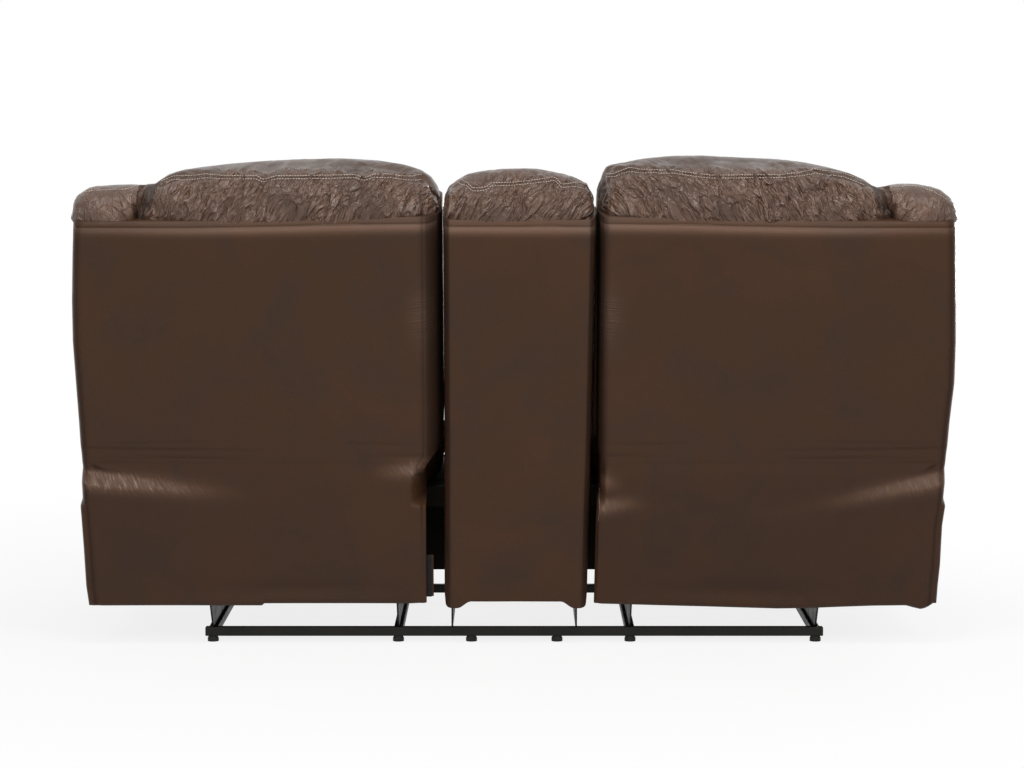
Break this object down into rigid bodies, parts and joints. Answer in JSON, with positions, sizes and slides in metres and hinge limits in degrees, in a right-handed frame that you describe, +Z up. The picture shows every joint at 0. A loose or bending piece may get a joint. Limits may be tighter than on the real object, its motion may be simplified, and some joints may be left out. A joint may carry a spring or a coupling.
{
  "type": "reclining console loveseat",
  "caption": "Brown leather reclining loveseat with padded backs, swing-out footrests and a centre console with a lidded bin and cup wells, on a black steel base.",
  "frame": {"origin": "on the floor, under the middle of the part's bounding box", "axes": "+Z up, -Y the way the sitters face, +X the sitters' left"},
  "size_m": [1.9064, 1.0198, 1.0836],
  "materials": {
    "brown_leather": "mottled dark brown leather with a soft sheen",
    "black_steel": "satin black paint",
    "glide_plastic": "matte black moulded plastic",
    "frame_wood": "bare plywood",
    "black_plastic": "fine-textured black plastic"
  },
  "bodies": {
    "base": {"rear_base_rail": "black_steel", "front_base_rail": "black_steel", "left_rear_outer_glide": "glide_plastic", "left_rear_inner_glide": "glide_plastic", "left_rear_console_glide": "glide_plastic", "left_front_glide": "glide_plastic", "left_outer_base_rail": "black_steel", "left_outer_side_plate": "black_steel", "left_inner_base_rail": "black_steel", "left_inner_side_plate": "black_steel", "left_console_bracket": "black_steel", "left_seat_deck": "frame_wood", "left_seat_cushion": "brown_leather", "left_arm": "brown_leather", "left_arm_pad": "brown_leather", "left_back_skirt": "brown_leather", "right_rear_outer_glide": "glide_plastic", "right_rear_inner_glide": "glide_plastic", "right_rear_console_glide": "glide_plastic", "right_front_glide": "glide_plastic", "right_outer_base_rail": "black_steel", "right_outer_side_plate": "black_steel", "right_inner_base_rail": "black_steel", "right_inner_side_plate": "black_steel", "right_console_bracket": "black_steel", "right_seat_deck": "frame_wood", "right_seat_cushion": "brown_leather", "right_arm": "brown_leather", "right_arm_pad": "brown_leather", "right_back_skirt": "brown_leather", "console_box": "brown_leather", "cup_holder_tray": "black_plastic", "console_back": "brown_leather", "console_head_pillow": "brown_leather", "console_lid_rod": "black_steel"},
    "left_back": {"left_back_frame": "frame_wood", "left_outside_back_panel": "brown_leather", "left_back_cushion": "brown_leather", "left_head_pillow": "brown_leather", "left_wing_bolster": "brown_leather"},
    "left_lower_links": {"left_outer_lower_link": "black_steel", "left_inner_lower_link": "black_steel"},
    "left_upper_links": {"left_outer_upper_link": "black_steel", "left_inner_upper_link": "black_steel"},
    "left_footrest": {"left_footrest_board": "frame_wood", "left_footrest_pad": "brown_leather"},
    "left_lever": {"left_release_lever": "black_plastic"},
    "right_back": {"right_back_frame": "frame_wood", "right_outside_back_panel": "brown_leather", "right_back_cushion": "brown_leather", "right_head_pillow": "brown_leather", "right_wing_bolster": "brown_leather"},
    "right_lower_links": {"right_outer_lower_link": "black_steel", "right_inner_lower_link": "black_steel"},
    "right_upper_links": {"right_outer_upper_link": "black_steel", "right_inner_upper_link": "black_steel"},
    "right_footrest": {"right_footrest_board": "frame_wood", "right_footrest_pad": "brown_leather"},
    "right_lever": {"right_release_lever": "black_plastic"},
    "console_lid": {"console_lid": "brown_leather"}
  },
  "joints": [
    {"name": "left_recline", "type": "hinge", "parent": "base", "child": "left_back", "pos_m": [0.468, 0.333, 0.4], "axis": [-1, 0, 0], "range_deg": [0, 35]},
    {"name": "left_footrest_swing", "type": "hinge", "parent": "base", "child": "left_lower_links", "pos_m": [0.468, -0.335, 0.318], "axis": [-1, 0, 0], "range_deg": [0, 80]},
    {"name": "left_upper_link_fold", "type": "hinge", "parent": "left_lower_links", "child": "left_upper_links", "pos_m": [0.468, -0.34895, 0.11849], "axis": [-1, 0, 0], "range_deg": [-160, 0]},
    {"name": "left_footrest_tilt", "type": "hinge", "parent": "left_upper_links", "child": "left_footrest", "pos_m": [0.468, -0.3629, 0.318], "axis": [-1, 0, 0], "range_deg": [0, 168]},
    {"name": "left_lever_pull", "type": "hinge", "parent": "base", "child": "left_lever", "pos_m": [0.936, -0.06, 0.44], "axis": [-1, 0, 0], "range_deg": [0, 25], "stiffness_Nm_per_rad": 1.5, "springref_deg": -11.46},
    {"name": "right_recline", "type": "hinge", "parent": "base", "child": "right_back", "pos_m": [-0.468, 0.333, 0.4], "axis": [-1, 0, 0], "range_deg": [0, 35]},
    {"name": "right_footrest_swing", "type": "hinge", "parent": "base", "child": "right_lower_links", "pos_m": [-0.468, -0.335, 0.318], "axis": [-1, 0, 0], "range_deg": [0, 80]},
    {"name": "right_upper_link_fold", "type": "hinge", "parent": "right_lower_links", "child": "right_upper_links", "pos_m": [-0.468, -0.34895, 0.11849], "axis": [-1, 0, 0], "range_deg": [-160, 0]},
    {"name": "right_footrest_tilt", "type": "hinge", "parent": "right_upper_links", "child": "right_footrest", "pos_m": [-0.468, -0.3629, 0.318], "axis": [-1, 0, 0], "range_deg": [0, 168]},
    {"name": "right_lever_pull", "type": "hinge", "parent": "base", "child": "right_lever", "pos_m": [-0.936, -0.06, 0.44], "axis": [-1, 0, 0], "range_deg": [0, 25], "stiffness_Nm_per_rad": 1.5, "springref_deg": -11.46},
    {"name": "console_lid_lift", "type": "hinge", "parent": "base", "child": "console_lid", "pos_m": [0, 0.168, 0.5503], "axis": [-1, 0, 0], "range_deg": [0, 80]}
  ],
  "couplings": [
    {"joint": "left_upper_link_fold", "follows": "left_footrest_swing", "ratio": -2},
    {"joint": "left_footrest_tilt", "follows": "left_footrest_swing", "ratio": 2.1},
    {"joint": "right_upper_link_fold", "follows": "right_footrest_swing", "ratio": -2},
    {"joint": "right_footrest_tilt", "follows": "right_footrest_swing", "ratio": 2.1}
  ]
}
